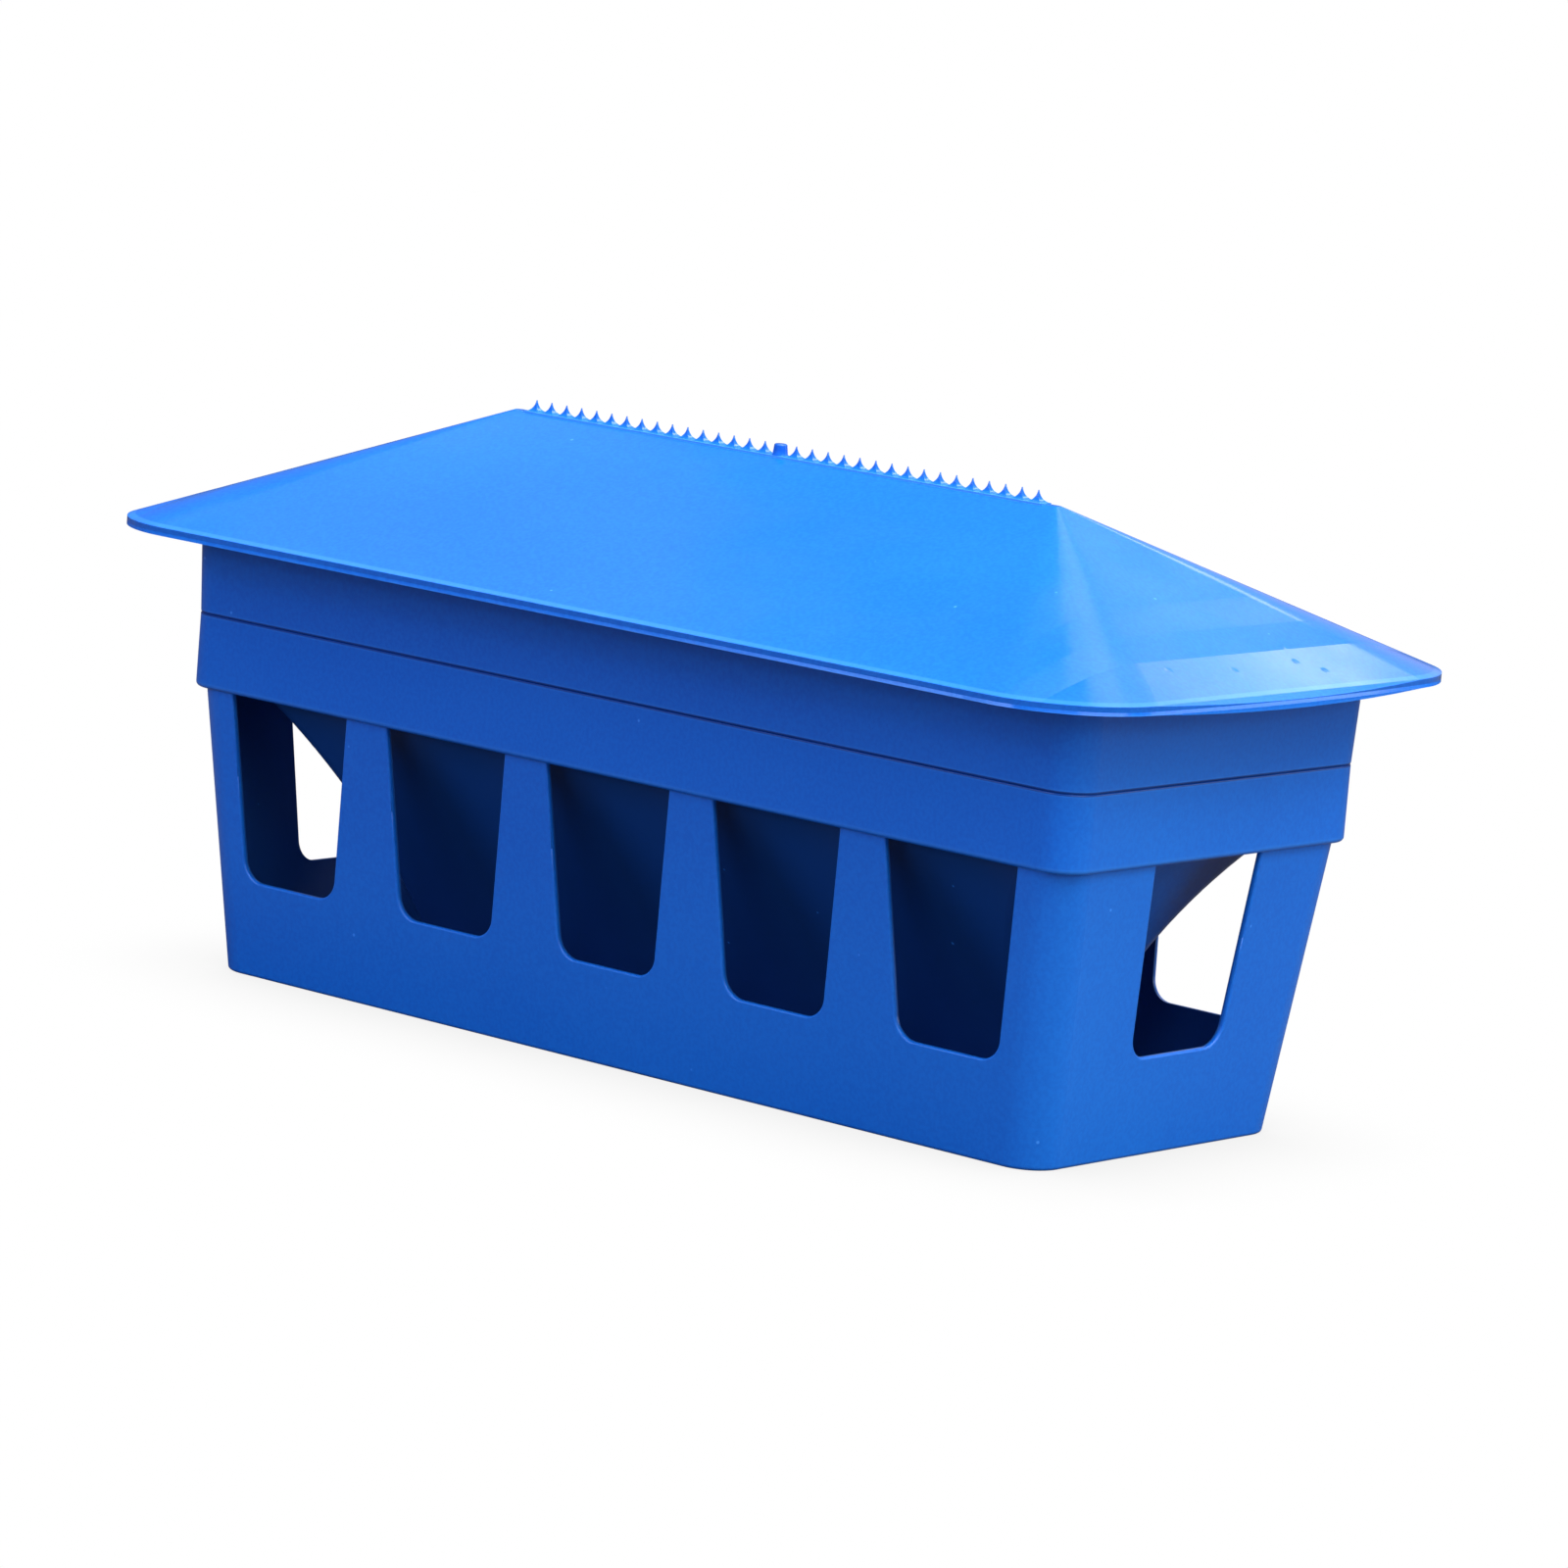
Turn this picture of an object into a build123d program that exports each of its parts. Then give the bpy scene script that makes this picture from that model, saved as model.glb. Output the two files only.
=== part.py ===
from build123d import *
from math import atan, atan2, cos, degrees
import os

# Automatic pigeon feeder in moulded plastic: a feeding tray with windows, a seed hopper that
# stands in the tray's collar, and a hipped roof lid that lies on the hopper.
# Millimetres, +Z up. The origin is the middle of the tray's underside, +X runs along the long
# side and -Y is the front.

# Feeding tray: sizes are outside ones, the walls lean outwards going up
tray_length = 338.6
tray_width = 121.2
tray_corner = 12.0
tray_wall = 1.8
tray_floor = 2.5
foot_round = 1.2
window_wall_height = 91.7
wall_lean = 9.4

# Collar that rings the tray above the windows
collar_height = 24.1
collar_step = 2.1
collar_corner = 10.5
collar_round = 1.6

# Feeding windows: posts and piers are measured at the collar, a window narrows towards its sill
windows_per_side = 5
window_post = 17.5
corner_post = 18.2
end_pier = 43.8
window_taper = 5.85
end_window_taper = 4.4
window_sill = 31.3
window_corner = 7.5
window_rim_round = 0.7

# Hopper: an outer band above the collar, a skirt inside the collar and a funnel down to a slot
hopper_wall = 1.8
band_height = 34.0
band_flare = 1.3
collar_clearance = 0.6
skirt_depth = 8.8
funnel_waist_depth = 35.0
funnel_waist_run = 31.5
funnel_waist_corner = 8.0
outlet_run = 49.0
outlet_width = 13.0
outlet_above_floor = 13.0
outlet_corner = 3.0
parting_round = 0.6

# Roof lid
eave_overhang = 27.4
end_overhang = 20.9
end_bow = 3.0
eave_corner = 35.5
eave_drop = 6.8
lip_height = 2.7
roof_rise = 42.2
hip_run = 92.0
ridge_width = 3.0
ridge_round = 1.4
lid_wall = 1.8
rib_wall = 1.6
lid_clearance = 0.5
lid_skirt_depth = 10.0
slope_run_on = 10.0

# Comb along the ridge that keeps birds off, with the round sprue boss in its middle
tooth_pitch = 6.4
tooth_height = 3.7
tooth_side_gap = 0.05
scallop_stretch = 1.22
comb_root = 5.0
comb_tip = 0.6
comb_rise = 0.2
comb_sink = 0.8
comb_end_margin = 8.0
boss_root = 5.2
boss_tip = 4.0
boss_round = 0.5

# Worked out from the sizes above
parting_height = window_wall_height + collar_height
shelf_top = window_wall_height + tray_wall
collar_length = tray_length + 2 * (wall_lean + collar_step)
collar_width = tray_width + 2 * (wall_lean + collar_step)
window_head = (
    tray_length + 2 * wall_lean - 2 * corner_post - (windows_per_side - 1) * window_post
) / windows_per_side
window_pitch = window_head + window_post
end_window_head = tray_width + 2 * wall_lean - 2 * end_pier
band_top = parting_height + band_height
skirt_bottom = parting_height - skirt_depth
skirt_length = collar_length - 2 * (tray_wall + collar_clearance)
skirt_width = collar_width - 2 * (tray_wall + collar_clearance)
skirt_corner = collar_corner - tray_wall - collar_clearance
outlet_height = tray_floor + outlet_above_floor
eave_height = band_top - eave_drop
lip_top = eave_height + lip_height
ridge_height = lip_top + roof_rise
eave_length = collar_length + 2 * (band_flare + end_overhang)
eave_width = collar_width + 2 * (band_flare + eave_overhang)
ridge_length = eave_length - 2 * hip_run
teeth_per_side = int((ridge_length / 2 - comb_end_margin) / tooth_pitch)


def plan(length, width, corner, height):
    """Rounded rectangle, level, at a height."""
    return Pos(0, 0, height) * RectangleRounded(length, width, corner)


def tray_plan(height, inset):
    """Outline of the leaning tray wall at a height, drawn in by inset."""
    spread = wall_lean * height / window_wall_height - inset
    return plan(tray_length + 2 * spread, tray_width + 2 * spread, tray_corner - inset, height)


def collar_plan(height, inset):
    """Outline of the upright collar, drawn in by inset."""
    return plan(collar_length - 2 * inset, collar_width - 2 * inset, collar_corner - inset, height)


def band_plan(height, inset):
    """Outline of the hopper's band, which flares a little from the parting line to its top."""
    spread = band_flare * (height - parting_height) / band_height - inset
    return plan(collar_length + 2 * spread, collar_width + 2 * spread, collar_corner - inset, height)


def between(lower, upper):
    """Solid with straight sides between two outlines."""
    return loft([lower, upper], ruled=True)


def window_cutter(plane, head, taper, depth):
    """Tapered window with a rounded foot, pushed both ways through the walls."""
    foot = head - 2 * taper
    corners = [
        (-foot / 2, window_sill),
        (foot / 2, window_sill),
        (head / 2, window_wall_height),
        (-head / 2, window_wall_height),
    ]
    outline = plane * Polygon(*corners, align=None)
    outline = fillet(outline.vertices().group_by(Axis.Z)[0], window_corner)
    return extrude(outline, amount=depth, both=True)


def window_cutters():
    """All the feeding windows: a row through both long walls and one through both ends."""
    row_start = -(windows_per_side - 1) / 2 * window_pitch
    side_window = window_cutter(Plane.XZ, window_head, window_taper, collar_width)
    cutters = [Pos(row_start + i * window_pitch, 0, 0) * side_window for i in range(windows_per_side)]
    return cutters + [window_cutter(Plane.YZ, end_window_head, end_window_taper, collar_length)]


def window_rims(tray):
    """Edges where the windows break the outside of the walls, the faces that look a little down."""
    lowest = window_sill - window_rim_round
    highest = window_wall_height - window_rim_round
    walls = [face for face in tray.faces() if -wall_lean < face.normal_at().Z * window_wall_height < 0]
    edges = [edge for face in walls for edge in face.edges()]
    return [edge for edge in edges if lowest < edge.bounding_box().min.Z < highest]


def feeding_tray():
    """Open trough with leaning walls, feeding windows and the upright collar around its top."""
    body = between(tray_plan(0, 0), tray_plan(window_wall_height, 0))
    body = fillet(body.edges().group_by(Axis.Z)[0], foot_round)
    collar = between(collar_plan(window_wall_height, 0), collar_plan(parting_height, 0))
    collar = fillet(collar.edges().group_by(Axis.Z)[0], collar_round)
    collar = fillet(collar.edges().group_by(Axis.Z)[-1], parting_round)
    trough = between(tray_plan(tray_floor, tray_wall), tray_plan(shelf_top, tray_wall))
    collar_hollow = between(collar_plan(shelf_top, tray_wall), collar_plan(parting_height, tray_wall))
    tray = body + collar - trough - collar_hollow - window_cutters()
    return fillet(window_rims(tray), window_rim_round)


def funnel_shape(inset):
    """Solid funnel: flat long walls, and end walls that curve steeper down to the slot."""
    lean = (skirt_width - outlet_width) / 2 / (skirt_bottom - outlet_height)
    level = inset / cos(atan(lean))
    waist_height = skirt_bottom - funnel_waist_depth
    waist_width = outlet_width + 2 * lean * (waist_height - outlet_height)
    top = plan(skirt_length - 2 * inset, skirt_width - 2 * inset, skirt_corner - inset, skirt_bottom)
    waist_length = skirt_length - 2 * funnel_waist_run
    waist_corner = funnel_waist_corner - inset
    waist = plan(waist_length - 2 * level, waist_width - 2 * level, waist_corner, waist_height)
    slot_length = skirt_length - 2 * outlet_run
    slot_corner = outlet_corner - inset
    slot = plan(slot_length - 2 * level, outlet_width - 2 * level, slot_corner, outlet_height)
    return loft([slot, waist, top])


def seed_hopper():
    """Seed hopper: flared band, shoulder on the collar's rim, locating skirt and V funnel."""
    shoulder_top = parting_height + hopper_wall
    band = between(band_plan(parting_height, 0), band_plan(band_top, 0))
    band = fillet(band.edges().group_by(Axis.Z)[0], parting_round)
    band_hollow = between(band_plan(shoulder_top, hopper_wall), band_plan(band_top, hopper_wall))
    skirt_shift = tray_wall + collar_clearance
    skirt = between(collar_plan(skirt_bottom, skirt_shift), collar_plan(shoulder_top, skirt_shift))
    inner_shift = skirt_shift + hopper_wall
    throat = between(collar_plan(skirt_bottom, inner_shift), collar_plan(shoulder_top, inner_shift))
    outside = band + skirt + funnel_shape(0)
    return outside - band_hollow - throat - funnel_shape(hopper_wall)


def eave_prism(inset):
    """Upright block inside the eave's outline: straight sides, and ends that bow out a little."""
    corner_x = eave_length / 2 - eave_corner
    corner_y = eave_width / 2 - eave_corner
    reach = (corner_y**2 - end_bow**2) / (2 * end_bow)
    turn = degrees(atan2(corner_y, reach))
    corner = eave_corner - inset
    bow = reach + end_bow + corner
    side = Line((-corner_x, -corner_y - corner), (corner_x, -corner_y - corner))
    front_corner = CenterArc((corner_x, -corner_y), corner, -90, 90 - turn)
    end = CenterArc((corner_x - reach, 0), bow, -turn, 2 * turn)
    back_corner = CenterArc((corner_x, corner_y), corner, turn, 90 - turn)
    half = [side, front_corner, end, back_corner]
    outline = make_face(half + [edge.rotate(Axis.Z, 180) for edge in half])
    return extrude(Pos(0, 0, lip_top - slope_run_on) * outline, amount=slope_run_on + roof_rise)


def roof_block(drop):
    """Solid under the roof's slopes, which run on below the eave, let down by drop."""
    beyond = slope_run_on / roof_rise
    length = eave_length + beyond * (eave_length - ridge_length)
    width = eave_width + beyond * (eave_width - ridge_width)
    corner = eave_corner + beyond * (eave_corner - ridge_round)
    foot = plan(length, width, corner, lip_top - slope_run_on - drop)
    ridge = plan(ridge_length, ridge_width, ridge_round, ridge_height - drop)
    return between(foot, ridge)


def roof_shell(drop):
    """Hipped shell with an upright lip: rounded hips, wide at the eave and tight at the ridge."""
    solid = eave_prism(0) & roof_block(0)
    return solid - (eave_prism(lid_wall) & roof_block(drop)) - roof_block(lip_height)


def lid_ribs(drop):
    """Seat that lies on the band's rim, over the skirt inside the band that keeps the lid in place."""
    skirt_foot = band_top - lid_skirt_depth
    outer = hopper_wall + lid_clearance
    inner = outer + rib_wall
    seat = extrude(band_plan(band_top, 0), amount=roof_rise)
    skirt = extrude(band_plan(skirt_foot, outer), amount=lid_skirt_depth)
    hollow = extrude(band_plan(skirt_foot, inner), amount=lid_skirt_depth + roof_rise)
    return ((seat - hollow) & roof_block(drop / 2)) + (skirt - hollow)


def ridge_comb():
    """Row of thorns, hollow on all four flanks, with the round sprue boss among them."""
    reach = (teeth_per_side + 0.5) * tooth_pitch
    foot = ridge_height - comb_sink
    valley = ridge_height + comb_rise
    tip = valley + tooth_height
    scallop_half = tooth_pitch / 2 + tooth_side_gap
    scallop_height = tooth_height * scallop_stretch
    blank = Pos(0, (foot + tip) / 2) * Rectangle(2 * reach, tip - foot)
    scallops = [
        Pos((i - teeth_per_side - 0.5) * tooth_pitch, valley + scallop_height)
        * Ellipse(scallop_half, scallop_height)
        for i in range(2 * teeth_per_side + 2)
    ]
    thorns = extrude(Plane.XZ * (blank - scallops), amount=comb_root, both=True)
    flank_depth = (comb_root - comb_tip) / 2
    flanks = [Pos(side * comb_root / 2, tip) * Ellipse(flank_depth, tooth_height) for side in (-1, 1)]
    section = Pos(0, (foot + tip) / 2) * Rectangle(comb_root, tip - foot) - flanks
    spine = extrude(Plane.YZ * section, amount=reach, both=True)
    boss = Pos(0, 0, (foot + tip) / 2) * Cone(boss_root / 2, boss_tip / 2, tip - foot)
    boss = fillet(boss.edges().group_by(Axis.Z)[-1], boss_round)
    return (thorns & spine) + boss


def roof_lid():
    """Hollow hipped lid with its locating ribs and the comb moulded along its ridge."""
    slope = 2 * roof_rise / (eave_width - ridge_width)
    drop = lid_wall / cos(atan(slope))
    return roof_shell(drop) + lid_ribs(drop) + ridge_comb()


parts = {
    "feeding_tray": feeding_tray(),
    "seed_hopper": seed_hopper(),
    "roof_lid": roof_lid(),
}
os.makedirs("parts", exist_ok=True)
for name, solid in parts.items():
    export_step(solid, f"parts/{name}.step")
    box = solid.bounding_box()
    size = " x ".join(f"{side:.1f}" for side in box.size)
    print(f"{name}: {size} mm, from z {box.min.Z:.1f}, {solid.volume / 1000:.1f} cm3")
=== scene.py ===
from math import cos, radians, sin

import bpy
from mathutils import Matrix, Vector


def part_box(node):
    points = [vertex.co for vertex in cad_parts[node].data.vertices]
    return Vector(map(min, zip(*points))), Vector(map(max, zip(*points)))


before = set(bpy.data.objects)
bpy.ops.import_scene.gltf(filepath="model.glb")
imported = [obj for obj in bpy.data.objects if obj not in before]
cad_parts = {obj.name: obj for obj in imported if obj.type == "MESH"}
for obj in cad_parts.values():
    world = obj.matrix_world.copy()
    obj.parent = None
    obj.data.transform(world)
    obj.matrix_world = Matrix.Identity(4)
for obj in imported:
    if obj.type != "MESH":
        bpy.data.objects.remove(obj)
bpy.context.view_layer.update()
tray_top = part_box("feeding_tray")[1]
lid_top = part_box("roof_lid")[1]

# Camera: where the photograph was taken from, in degrees, metres and millimetres
VIEW_YAW = 39.41
VIEW_PITCH = 9.156
VIEW_ROLL = 4.776
VIEW_DISTANCE = 2.31209
VIEW_RIGHT = 0.016691
VIEW_UP = 0.082896
VIEW_REACH = 50.0
SENSOR_MM = 36.0
LENS_MM = 168.47

# Cobalt blue and its deeper tone where the melt flowed; painted shade on sheltered faces, in the
# seam's groove and at the thorns' tips; and its pale tone at specks and rubbed edges, also used as
# painted highlight and light on edges, rims, lip and comb foot
BLUE = (0.0092, 0.190, 0.79)
DEEP_BLUE = (0.0050, 0.138, 0.69)
# Painted shade inside the tray's walls and on the funnel's long sides
INNER_PAINTED_SHADE_BLUE = (0.0100, 0.072, 0.31)
# Painted shade in the seam's groove
SEAM_PAINTED_SHADE_BLUE = (0.0040, 0.060, 0.34)
# Painted shade on the thorns' tips and boss
THORN_PAINTED_SHADE_BLUE = (0.0040, 0.085, 0.52)
# Pale tone of specks and worn edges, also the painted highlight on rims, the lip and the comb's foot
PALE_AND_HIGHLIGHT_BLUE = (0.060, 0.330, 1.000)

# Roughness of each moulding, how far its clouds reach below and above that, and what wear adds
GLOSS = {"feeding_tray": 0.30, "seed_hopper": 0.32, "roof_lid": 0.135}
CLOUDS_BELOW = 0.02
CLOUDS_ABOVE = 0.03
WEAR_ROUGHNESS = 0.10

# Noises: bumps per metre, detail and stretch
NOISES = {
    "flow": (7, 4, (0.6, 1.3, 1.3)),
    "mottle": (750, 2, (1, 1, 1)),
    "wear_and_glint_patches": (70, 3, (1, 1, 1)),
    "gloss_clouds": (45, 4, (1, 1, 1)),
    "warp": (9, 2, (1, 1, 1)),
    "orange_peel": (260, 2, (1, 1, 1)),
    "grain": (1100, 1, (1, 1, 1)),
}
NOISE_LOW = 0.3
NOISE_HIGH = 0.7

# Heights of the surface marks, in metres
WARP_HEIGHT = 0.00035
ORANGE_PEEL_HEIGHT = 0.000012
GRAIN_HEIGHT = 0.000006

# Pale specks: spacing and radius in metres, full part of the radius, and share of the places that
# hold one
SPECK_SPACING = 0.011
SPECK_RADIUS = 0.0007
SPECK_CORE = 0.4
SPECK_SHARE = 0.35

# Rubbed edges, paler partly as worn plastic and partly as a painted highlight: width in metres,
# samples, cosine of the normal's turn where wear and painted highlight are full and where they end,
# and the range of the noise that breaks it up, with the least of it
EDGE_WEAR_AND_GLINT_WIDTH = 0.0011
EDGE_SAMPLES = 4
EDGE_TURN_FULL = 0.80
EDGE_TURN_NONE = 0.995
PATCH_LOW = 0.35
PATCH_HIGH = 0.65
PATCH_LEAST = 0.25

# How pale the specks, the rubbed edges (worn and partly a painted highlight), and the painted
# highlights on the seam rims and lip are
SPECK_PALENESS = 0.9
EDGE_PALENESS = 0.35
RIM_HIGHLIGHT_PALENESS = 0.18
LIP_HIGHLIGHT_PALENESS = 0.35

# Tray and collar in metres: corners, wall, lean, how far the wall's foot stands inside the collar
COLLAR_CORNER = 0.0105
TRAY_CORNER = 0.012
TRAY_WALL = 0.0018
TRAY_INSET = 0.0115
TRAY_LEAN = 0.1025
COLLAR_HEIGHT = 0.0241
SKIRT_DEPTH = 0.0088

# Outlines: half length and half width at the ground, corner, and growth with height
COLLAR_OUTLINE = (tray_top.x, tray_top.y, COLLAR_CORNER, 0.0)
TRAY_OUTLINE = (tray_top.x - TRAY_INSET, tray_top.y - TRAY_INSET, TRAY_CORNER, TRAY_LEAN)

# Painted shade on sheltered faces: half height of its soft upper edge, parts of the wall at which the
# inner painted shade is full and at which it ends, and slants from which a long side starts and is
# full
SHELTER_EDGE = 0.004
INNER_FULL = 0.9 * TRAY_WALL
INNER_NONE = 0.5 * TRAY_WALL
SIDE_SLANT_NONE = 0.2
SIDE_SLANT_FULL = 0.5

# The seam's painted shade and painted rim highlights keep to the outer skin: depth at which they end,
# and depth at which they are full
SKIN_NONE = 0.0009
SKIN_FULL = 0.0006

# Level lines: height, how far from it the line is full, and where it ends, in metres
# Painted shade in the seam's groove
SEAM_LINE = (tray_top.z, 0.00048, 0.0008)
# Painted highlights on the rims beside the seam and at the collar's foot
SEAM_RIM_LINE = (tray_top.z, 0.0008, 0.0014)
COLLAR_RIM_LINE = (tray_top.z - 0.0228, 0.00035, 0.0007)
# Painted highlight along the lip's rim
LIP_RIM_LINE = (lid_top.z - 0.0456, 0.00025, 0.0005)
# Painted light on the comb's foot
COMB_FOOT_LINE = (lid_top.z - 0.00405, 0.00035, 0.0005)

# Roof's ends in metres: a swell and then a flatter brim, each with its rise for each metre
SWELL_START = lid_top.x - 0.047
SWELL_END = lid_top.x - 0.034
SWELL_TILT = 0.028
BRIM_START = lid_top.x - 0.022
BRIM_TILT = 0.100

# Lip's upright face in metres: a bead below the waist and a hollow above it, with their tilts
LIP_BOTTOM = lid_top.z - 0.0488
LIP_WAIST = lid_top.z - 0.0477
LIP_TOP = lid_top.z - 0.0461
LIP_BEAD = 0.32
LIP_HOLLOW = 0.18

# Comb: half width and half length of its foot, which takes painted light, heights between which the
# thorns take a painted shade, and the share of that painted shade at their tips
COMB_SIDE = 0.00257
COMB_REACH = 0.1055
THORN_START = lid_top.z - 0.0033
THORN_END = lid_top.z - 0.0016
THORN_SHARE = 0.6

# Dents on the brim: places from the middle of the roof, radius and depth, in metres
DENTS = (
    (0.1882, -0.0420),
    (0.1910, -0.0134),
    (0.1897, 0.0186),
    (0.1948, 0.0269),
    (0.1828, 0.0216),
)
DENT_RADIUS = 0.0016
DENT_DEPTH = 0.00010

# Floor: size in metres, how light it is to the light that bounces, reach and samples of the contact
# shadow, how open a place is where it is full and where it ends, and the light that it leaves
FLOOR_SIZE = 40
FLOOR_GREY = 0.10
SHADOW_REACH = 0.07
SHADOW_SAMPLES = 16
SHADOW_FULL = 0.4
SHADOW_NONE = 0.95
SHADOW_SHADE = 0.87

# Soft boxes: size, power in watts, direction and height in degrees, distance and colour
LIGHTS = {
    "overhead": ((2.1, 2.1), 56.5, 50, 76, 1.6, (1, 1, 1)),
    "high_right": ((1.7, 1.5), 16.9, -20, 60, 1.9, (1, 1, 1)),
    "right_side": ((1.7, 1.2), 13.9, -15, 35, 2.0, (1, 1, 1)),
    "right_low": ((0.9, 0.6), 6.2, 0, 14, 2.0, (1, 1, 1)),
    "front_high": ((1.1, 0.9), 6.6, -112, 36, 2.0, (0.73, 0.73, 1)),
    "front_low": ((1.1, 0.6), 7.3, -112, 22, 2.0, (0.42, 0.64, 1)),
    "front_right": ((1.0, 0.9), 1.0, -60, 30, 2.2, (1, 1, 1)),
    "camera_side": ((0.9, 0.5), 6.2, -75, 12, 2.2, (0.80, 0.80, 1)),
    "back_right": ((1.0, 0.5), 3.2, 45, 10, 2.0, (1, 1, 1)),
}
LIGHT_TARGET = (0.0, 0.0, 0.1)

# Low soft boxes that the gloss doesn't mirror, so that no slope turns white from the far side
UNMIRRORED = ("right_low", "camera_side")

# Panels on the wall behind, which the roof mirrors: size, power, place across and up, turn in
# degrees, and how far back the wall is
PANELS = {
    "end_panel": ((1.66, 0.94), 1.75, 0.07, 1.33, 0),
    "brim_panel": ((0.22, 0.20), 0.33, -0.395, 0.845, 45),
    "front_panel": ((0.8, 0.5), 0.10, -2.15, 2.03, 0),
    "warp_panel": ((0.28, 0.12), 1.40, -2.075, 2.02, 12),
    "hip_panel": ((0.40, 0.50), 0.37, -0.56, 1.55, 0),
    "hip_streak": ((0.08, 0.60), 0.09, -0.585, 1.50, 0),
    "far_hip_panel": ((0.65, 0.68), 0.38, -0.42, 0.44, 0),
}
PANEL_WALL = 1.2

# Strength of the soft sky light
SKY_STRENGTH = 0.139


def add_camera():
    """Camera turned by yaw, pitch and roll around the feeder's middle, then backed off."""
    data = bpy.data.cameras.new("photo_camera")
    data.sensor_width = SENSOR_MM
    data.lens = LENS_MM
    data.clip_end = VIEW_REACH
    camera = bpy.data.objects.new("photo_camera", data)
    turn = Matrix.Rotation(radians(VIEW_YAW), 4, "Z")
    turn @= Matrix.Rotation(radians(90 - VIEW_PITCH), 4, "X")
    turn @= Matrix.Rotation(radians(VIEW_ROLL), 4, "Z")
    camera.matrix_world = turn @ Matrix.Translation((VIEW_RIGHT, VIEW_UP, VIEW_DISTANCE))
    bpy.context.scene.collection.objects.link(camera)
    bpy.context.scene.camera = camera


def soft_box(name, size, power):
    """Rectangular soft box, not yet placed."""
    data = bpy.data.lights.new(name, "AREA")
    data.shape = "RECTANGLE"
    data.size, data.size_y = size
    data.energy = power
    box = bpy.data.objects.new(name, data)
    bpy.context.scene.collection.objects.link(box)
    return box


def add_light(name, size, power, direction, height, distance, color):
    """Soft box seen from the feeder in a direction and at a height, facing it."""
    light = soft_box(name, size, power)
    light.data.color = color
    level = cos(radians(height))
    across = level * cos(radians(direction))
    back = level * sin(radians(direction))
    ray = Vector((across, back, sin(radians(height))))
    light.location = Vector(LIGHT_TARGET) + distance * ray
    light.rotation_euler = (-ray).to_track_quat("-Z", "Y").to_euler()
    light.visible_glossy = name not in UNMIRRORED


def add_panel(name, size, power, across, up, turn):
    """Soft box on the wall behind, turned in its own plane and hidden from the camera."""
    panel = soft_box(name, size, power)
    panel.visible_camera = False
    panel.location = (across, PANEL_WALL, up)
    forwards = Matrix.Rotation(radians(-90), 3, "X")
    panel.rotation_euler = (Matrix.Rotation(radians(turn), 3, "Y") @ forwards).to_euler()


class Finish:
    """One plastic finish: its nodes, with short ways to add and join them."""

    def __init__(self, name):
        self.material = bpy.data.materials.new(name)
        self.material.use_nodes = True
        self.tree = self.material.node_tree
        self.shader = self.tree.nodes["Principled BSDF"]
        self.place = self.add("ShaderNodeTexCoord").outputs["Object"]
        split = self.add("ShaderNodeSeparateXYZ")
        self.feed(self.place, split.inputs[0])
        self.axes = split.outputs

    def add(self, kind, **settings):
        """New node with its settings."""
        node = self.tree.nodes.new(kind)
        for key, value in settings.items():
            setattr(node, key, value)
        return node

    def feed(self, value, socket):
        """A value or another node's output into a socket."""
        if isinstance(value, (int, float, tuple)):
            socket.default_value = value
        else:
            self.tree.links.new(value, socket)

    def math(self, operation, first, second=0.0):
        """Arithmetic on one or two values."""
        node = self.add("ShaderNodeMath", operation=operation)
        self.feed(first, node.inputs[0])
        self.feed(second, node.inputs[1])
        return node.outputs[0]

    def vector_math(self, operation, first, second=(0.0, 0.0, 0.0)):
        """Number worked out from one or two vectors."""
        node = self.add("ShaderNodeVectorMath", operation=operation)
        self.feed(first, node.inputs[0])
        self.feed(second, node.inputs[1])
        return node.outputs["Value"]

    def ramp(self, value, low, high, start=0.0, end=1.0):
        """Smooth step of a value from low to high, as start to end."""
        node = self.add("ShaderNodeMapRange", interpolation_type="SMOOTHSTEP")
        for number, item in enumerate((value, low, high, start, end)):
            self.feed(item, node.inputs[number])
        return node.outputs[0]

    def noise(self, kind):
        """Cloudy noise from 0 to 1."""
        scale, detail, stretch = NOISES[kind]
        mapping = self.add("ShaderNodeMapping")
        self.feed(self.place, mapping.inputs["Vector"])
        self.feed(stretch, mapping.inputs["Scale"])
        node = self.add("ShaderNodeTexNoise")
        self.feed(mapping.outputs[0], node.inputs["Vector"])
        self.feed(scale, node.inputs["Scale"])
        self.feed(detail, node.inputs["Detail"])
        return node.outputs[0]

    def clouds(self, kind, start=0.0, end=1.0):
        """Noise spread over its usual range, as start to end."""
        return self.ramp(self.noise(kind), NOISE_LOW, NOISE_HIGH, start, end)

    def blend(self, share, first, second):
        """Mix of two colours, where a plain colour is given without its alpha."""
        node = self.add("ShaderNodeMix", data_type="RGBA")
        self.feed(share, node.inputs["Factor"])
        for color, socket in ((first, node.inputs[6]), (second, node.inputs[7])):
            self.feed((*color, 1.0) if isinstance(color, tuple) else color, socket)
        return node.outputs[2]


def specks(finish):
    """Share of pale specks: some of the cells of a loose grid hold one each."""
    cells = finish.add("ShaderNodeTexVoronoi")
    finish.feed(finish.place, cells.inputs["Vector"])
    finish.feed(1 / SPECK_SPACING, cells.inputs["Scale"])
    radius = SPECK_RADIUS / SPECK_SPACING
    dot = finish.ramp(cells.outputs["Distance"], radius * SPECK_CORE, radius, 1.0, 0.0)
    split = finish.add("ShaderNodeSeparateColor")
    finish.feed(cells.outputs["Color"], split.inputs[0])
    chosen = finish.math("LESS_THAN", split.outputs[0], SPECK_SHARE)
    return finish.math("MULTIPLY", dot, chosen)


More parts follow.
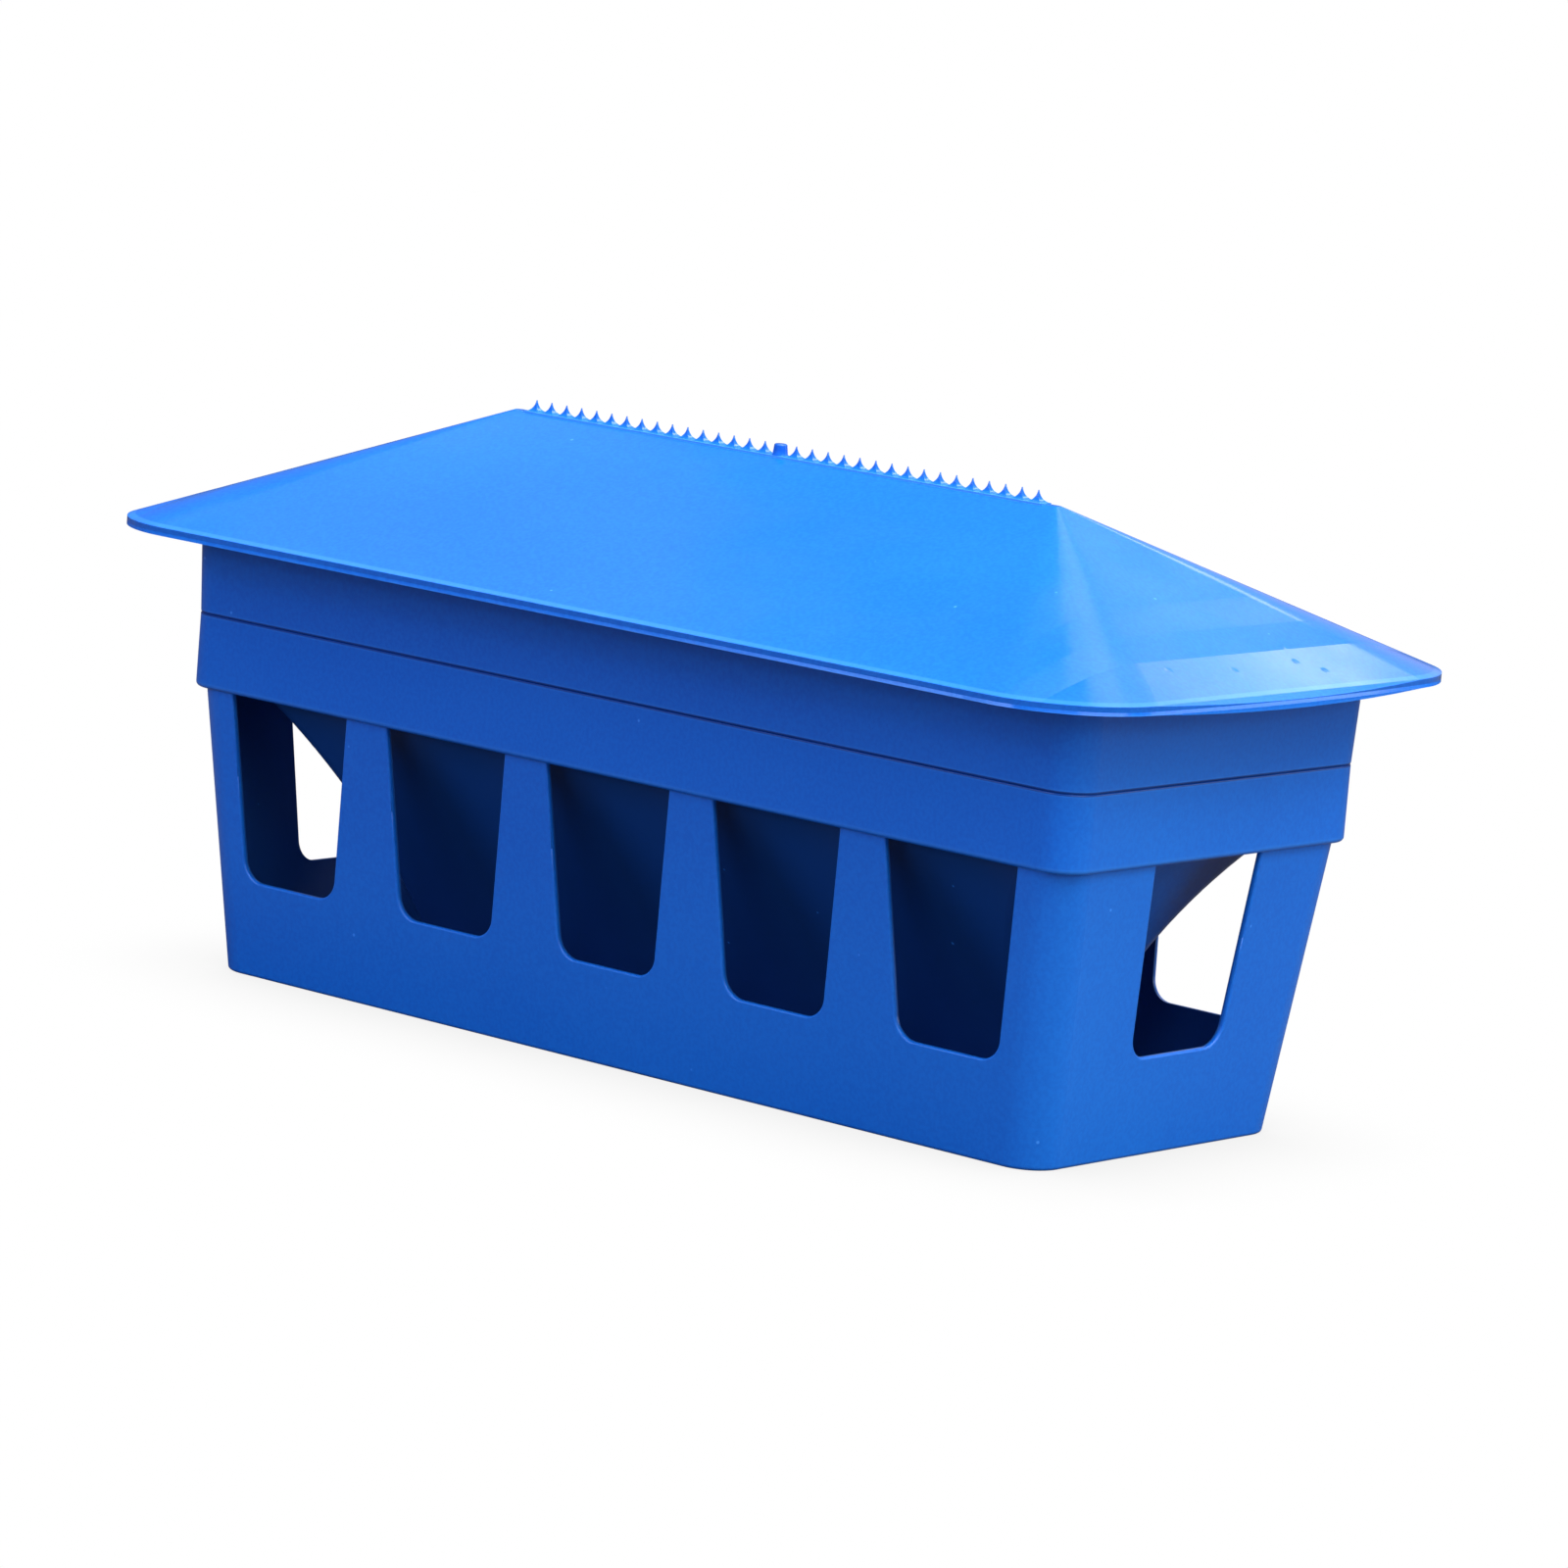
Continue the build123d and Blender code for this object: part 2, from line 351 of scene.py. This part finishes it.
def edge_wear_and_glint(finish):
    """Share of wear and painted highlight: high on the corners and edges, broken up by noise."""
    bevel = finish.add("ShaderNodeBevel", samples=EDGE_SAMPLES)
    finish.feed(EDGE_WEAR_AND_GLINT_WIDTH, bevel.inputs["Radius"])
    normal = finish.add("ShaderNodeNewGeometry").outputs["Normal"]
    turn = finish.vector_math("DOT_PRODUCT", bevel.outputs[0], normal)
    edge = finish.ramp(turn, EDGE_TURN_FULL, EDGE_TURN_NONE, 1.0, 0.0)
    patches = finish.ramp(finish.noise("wear_and_glint_patches"), PATCH_LOW, PATCH_HIGH, PATCH_LEAST, 1.0)
    return finish.math("MULTIPLY", edge, patches)


def level_line(finish, height, full, none):
    """Share of a level line: all of it within one distance of its height, none beyond the other."""
    away = finish.math("ABSOLUTE", finish.math("SUBTRACT", finish.axes[2], height))
    return finish.ramp(away, full, none, 1.0, 0.0)


def beyond_outline(finish, outline):
    """How far outside a rounded outline a place is, less than nothing inside it."""
    half_length, half_width, corner, lean = outline
    growth = finish.math("MULTIPLY", finish.axes[2], lean)
    plan = finish.add("ShaderNodeCombineXYZ")
    for axis, half in enumerate((half_length, half_width)):
        past = finish.math("SUBTRACT", finish.math("ABSOLUTE", finish.axes[axis]), half - corner)
        past = finish.math("SUBTRACT", past, growth)
        finish.feed(finish.math("MAXIMUM", past, 0.0), plan.inputs[axis])
    length = finish.vector_math("LENGTH", plan.outputs[0])
    return finish.math("SUBTRACT", length, corner)


def below(finish, height):
    """Share of the faces below a height, with a soft edge."""
    return finish.ramp(finish.axes[2], height - SHELTER_EDGE, height + SHELTER_EDGE, 1.0, 0.0)


def long_side(finish):
    """Share of the faces that look outwards on a long side, rather than inwards or to an end."""
    normal = finish.add("ShaderNodeSeparateXYZ")
    finish.feed(finish.add("ShaderNodeNewGeometry").outputs["True Normal"], normal.inputs[0])
    outward = finish.math("MULTIPLY", finish.math("SIGN", finish.axes[1]), normal.outputs[1])
    return finish.ramp(outward, SIDE_SLANT_NONE, SIDE_SLANT_FULL)


def sheltered_painted_shade(finish, name):
    """Share of the painted shade on sheltered faces: inside the tray's walls, and the funnel's long
    sides.
    """
    if name == "seed_hopper":
        return finish.math("MULTIPLY", below(finish, tray_top.z - SKIRT_DEPTH), long_side(finish))
    inner = finish.ramp(beyond_outline(finish, TRAY_OUTLINE), -INNER_FULL, -INNER_NONE, 1.0, 0.0)
    return finish.math("MULTIPLY", inner, below(finish, tray_top.z - COLLAR_HEIGHT))


def seam(finish):
    """Shares of the painted shade in the seam's groove under the band, and of the painted highlights
    on the rims there and at the collar's foot.
    """
    outer = finish.ramp(beyond_outline(finish, COLLAR_OUTLINE), -SKIN_NONE, -SKIN_FULL)
    dark = finish.math("MULTIPLY", level_line(finish, *SEAM_LINE), outer)
    rim = level_line(finish, *SEAM_RIM_LINE)
    foot = level_line(finish, *COLLAR_RIM_LINE)
    return dark, finish.math("MULTIPLY", finish.math("MAXIMUM", rim, foot), outer)


def comb_painted_light_and_shade(finish):
    """Shares of the painted light on the comb's foot and of the painted shade on its thorns and boss.
    """
    across = finish.math("LESS_THAN", finish.math("ABSOLUTE", finish.axes[1]), COMB_SIDE)
    along = finish.math("LESS_THAN", finish.math("ABSOLUTE", finish.axes[0]), COMB_REACH)
    under = finish.math("MULTIPLY", across, along)
    foot = finish.math("MULTIPLY", level_line(finish, *COMB_FOOT_LINE), under)
    return foot, finish.ramp(finish.axes[2], THORN_START, THORN_END, 0.0, THORN_SHARE)


def roof_ends(finish, length):
    """Height of the swell and the flatter brim at the roof's ends."""
    brim = finish.math("MAXIMUM", finish.math("SUBTRACT", length, BRIM_START), 0.0)
    swell = finish.math("MAXIMUM", finish.math("SUBTRACT", length, SWELL_START), 0.0)
    swell = finish.math("MINIMUM", swell, SWELL_END - SWELL_START)
    brim = finish.math("MULTIPLY", brim, BRIM_TILT)
    return finish.math("ADD", brim, finish.math("MULTIPLY", swell, SWELL_TILT))


def lip_form(finish):
    """Height of the bead and the hollow along the lip."""
    level = finish.math("MAXIMUM", finish.axes[2], LIP_BOTTOM)
    level = finish.math("SUBTRACT", finish.math("MINIMUM", level, LIP_TOP), LIP_WAIST)
    bead = finish.math("MULTIPLY", level, -LIP_BEAD)
    hollow = finish.math("MULTIPLY", level, LIP_HOLLOW)
    return finish.math("MAXIMUM", bead, hollow)


def roof_form(finish):
    """Height of the lid's own marks: its ends, its lip and the dents on the brim."""
    length = finish.math("ABSOLUTE", finish.axes[0])
    height = finish.math("ADD", roof_ends(finish, length), lip_form(finish))
    plan = finish.add("ShaderNodeCombineXYZ")
    finish.feed(length, plan.inputs[0])
    finish.feed(finish.axes[1], plan.inputs[1])
    for place in DENTS:
        away = finish.vector_math("DISTANCE", plan.outputs[0], (*place, 0.0))
        dent = finish.ramp(away, 0.0, DENT_RADIUS, -DENT_DEPTH, 0.0)
        height = finish.math("ADD", height, dent)
    return height


def color_plastic(finish, name, wear_and_glint):
    """Flow shades, mottle, specks, rubbed edges that are partly a painted highlight, and each
    moulding's painted shade and painted highlights.
    """
    flow = finish.math("ADD", finish.clouds("flow"), finish.clouds("mottle"))
    color = finish.blend(finish.math("MULTIPLY", flow, 0.5), DEEP_BLUE, BLUE)
    pale = finish.math("MULTIPLY", specks(finish), SPECK_PALENESS)
    # Rubbed edges: worn, and partly a painted highlight
    pale = finish.math("ADD", pale, finish.math("MULTIPLY", wear_and_glint, EDGE_PALENESS))
    if name == "roof_lid":
        # Painted highlight along the lip's rim
        rim = finish.math("MULTIPLY", level_line(finish, *LIP_RIM_LINE), LIP_HIGHLIGHT_PALENESS)
        # Painted light on the comb's foot and painted shade on its thorns
        foot, thorn = comb_painted_light_and_shade(finish)
        pale = finish.math("ADD", finish.math("ADD", pale, rim), foot)
        color = finish.blend(thorn, color, THORN_PAINTED_SHADE_BLUE)
        color = finish.blend(pale, color, PALE_AND_HIGHLIGHT_BLUE)
    else:
        # Painted shade in the seam's groove, and painted highlights on the seam's rims and the
        # collar's foot
        dark, rim = seam(finish)
        pale = finish.math("ADD", pale, finish.math("MULTIPLY", rim, RIM_HIGHLIGHT_PALENESS))
        # Painted shade on the sheltered faces
        color = finish.blend(sheltered_painted_shade(finish, name), color, INNER_PAINTED_SHADE_BLUE)
        color = finish.blend(pale, color, PALE_AND_HIGHLIGHT_BLUE)
        color = finish.blend(dark, color, SEAM_PAINTED_SHADE_BLUE)
    finish.feed(color, finish.shader.inputs["Base Color"])


def roughen_plastic(finish, name, wear_and_glint):
    """Gloss with slow clouds, duller where it is rubbed."""
    rough = finish.clouds("gloss_clouds", GLOSS[name] - CLOUDS_BELOW, GLOSS[name] + CLOUDS_ABOVE)
    rough = finish.math("ADD", rough, finish.math("MULTIPLY", wear_and_glint, WEAR_ROUGHNESS))
    finish.feed(rough, finish.shader.inputs["Roughness"])


def emboss_plastic(finish, name):
    """Slow warp, orange peel and grain, and the lid's own marks."""
    height = finish.math("MULTIPLY", finish.noise("warp"), WARP_HEIGHT)
    peel = finish.math("MULTIPLY", finish.noise("orange_peel"), ORANGE_PEEL_HEIGHT)
    grain = finish.math("MULTIPLY", finish.noise("grain"), GRAIN_HEIGHT)
    height = finish.math("ADD", height, finish.math("ADD", peel, grain))
    if name == "roof_lid":
        height = finish.math("ADD", height, roof_form(finish))
    bump = finish.add("ShaderNodeBump")
    finish.feed(1.0, bump.inputs["Strength"])
    finish.feed(1.0, bump.inputs["Distance"])
    finish.feed(height, bump.inputs["Height"])
    finish.feed(bump.outputs[0], finish.shader.inputs["Normal"])


def plastic(name):
    """Glossy blue moulded plastic of one moulding."""
    finish = Finish(name + "_plastic")
    wear_and_glint = edge_wear_and_glint(finish)
    color_plastic(finish, name, wear_and_glint)
    roughen_plastic(finish, name, wear_and_glint)
    emboss_plastic(finish, name)
    return finish.material


def add_world():
    """White for the camera, soft sky light for the rest."""
    world = bpy.data.worlds.new("studio")
    world.use_nodes = True
    bpy.context.scene.world = world
    tree = world.node_tree
    nodes = tree.nodes
    nodes.clear()
    output = nodes.new("ShaderNodeOutputWorld")
    mix = nodes.new("ShaderNodeMixShader")
    path = nodes.new("ShaderNodeLightPath")
    white = nodes.new("ShaderNodeBackground")
    sky = nodes.new("ShaderNodeBackground")
    white.inputs["Color"].default_value = (1, 1, 1, 1)
    white.inputs["Strength"].default_value = 1.0
    sky.inputs["Color"].default_value = (1, 1, 1, 1)
    sky.inputs["Strength"].default_value = SKY_STRENGTH
    tree.links.new(path.outputs["Is Camera Ray"], mix.inputs["Fac"])
    tree.links.new(sky.outputs[0], mix.inputs[1])
    tree.links.new(white.outputs[0], mix.inputs[2])
    tree.links.new(mix.outputs[0], output.inputs["Surface"])


def add_floor():
    """Floor: white with a contact shadow to the camera, dark grey to the light that bounces."""
    bpy.ops.mesh.primitive_plane_add(size=FLOOR_SIZE, location=(0, 0, 0))
    floor = bpy.context.object
    floor.name = "floor"
    material = bpy.data.materials.new("floor")
    material.use_nodes = True
    tree = material.node_tree
    nodes = tree.nodes
    shader = nodes["Principled BSDF"]
    shader.inputs["Base Color"].default_value = (FLOOR_GREY, FLOOR_GREY, FLOOR_GREY, 1)
    shader.inputs["Roughness"].default_value = 1.0
    shader.inputs["Specular IOR Level"].default_value = 0.0
    glow = nodes.new("ShaderNodeEmission")
    shade = nodes.new("ShaderNodeAmbientOcclusion")
    shade.samples = SHADOW_SAMPLES
    shade.inputs["Distance"].default_value = SHADOW_REACH
    soften = nodes.new("ShaderNodeMapRange")
    soften.inputs["From Min"].default_value = SHADOW_FULL
    soften.inputs["From Max"].default_value = SHADOW_NONE
    soften.inputs["To Min"].default_value = SHADOW_SHADE
    soften.inputs["To Max"].default_value = 1.0
    mix = nodes.new("ShaderNodeMixShader")
    path = nodes.new("ShaderNodeLightPath")
    tree.links.new(shade.outputs["AO"], soften.inputs["Value"])
    tree.links.new(soften.outputs[0], glow.inputs["Strength"])
    tree.links.new(path.outputs["Is Camera Ray"], mix.inputs["Fac"])
    tree.links.new(shader.outputs[0], mix.inputs[1])
    tree.links.new(glow.outputs[0], mix.inputs[2])
    tree.links.new(mix.outputs[0], nodes["Material Output"].inputs["Surface"])
    floor.data.materials.append(material)


bpy.context.scene.view_settings.view_transform = "Standard"
add_camera()
add_world()
add_floor()
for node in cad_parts.values():
    node.data.materials.clear()
    node.data.materials.append(plastic(node.name))
for name, settings in LIGHTS.items():
    add_light(name, *settings)
for name, settings in PANELS.items():
    add_panel(name, *settings)
